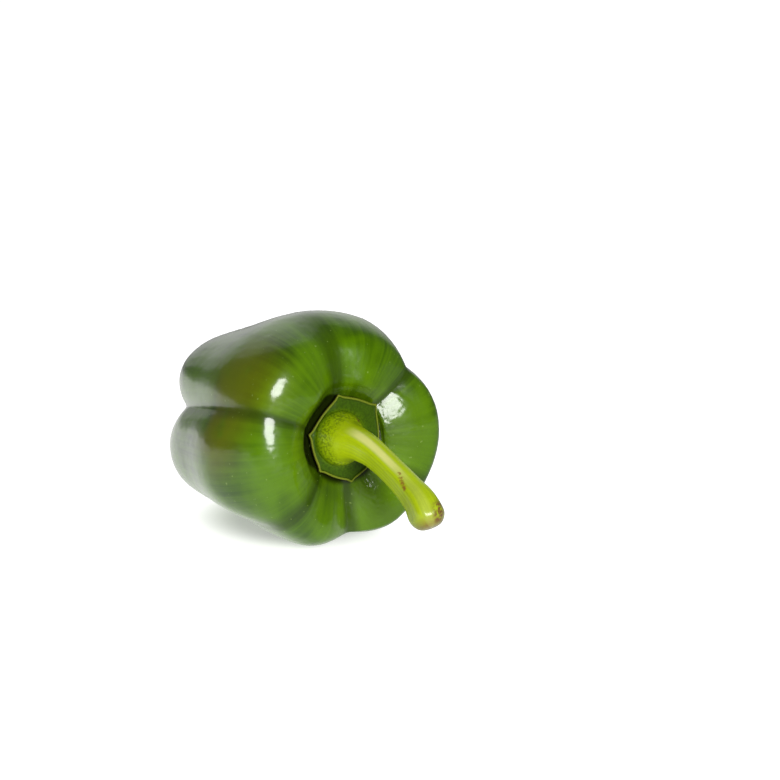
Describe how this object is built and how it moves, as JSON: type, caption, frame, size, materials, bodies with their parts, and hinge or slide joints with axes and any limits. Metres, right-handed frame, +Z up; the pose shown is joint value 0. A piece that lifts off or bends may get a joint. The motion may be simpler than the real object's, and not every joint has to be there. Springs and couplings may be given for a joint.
{
  "type": "bell pepper",
  "caption": "Whole green bell pepper lying on its side: a deeply lobed glossy fruit with a curved cut stalk and a cornered calyx seated in its hollow shoulder.",
  "frame": {"origin": "on the surface the pepper lies on, under the middle of the box round fruit and stalk", "axes": "+Z up, -Y towards the stalk end, +X to the right when the stalk end is seen from the front"},
  "size_m": [0.0916, 0.1398, 0.0835],
  "materials": {
    "skin": "gloss",
    "stalk": "satin"
  },
  "bodies": {
    "root": {"pod": "skin", "stem": "stalk"}
  },
  "joints": []
}
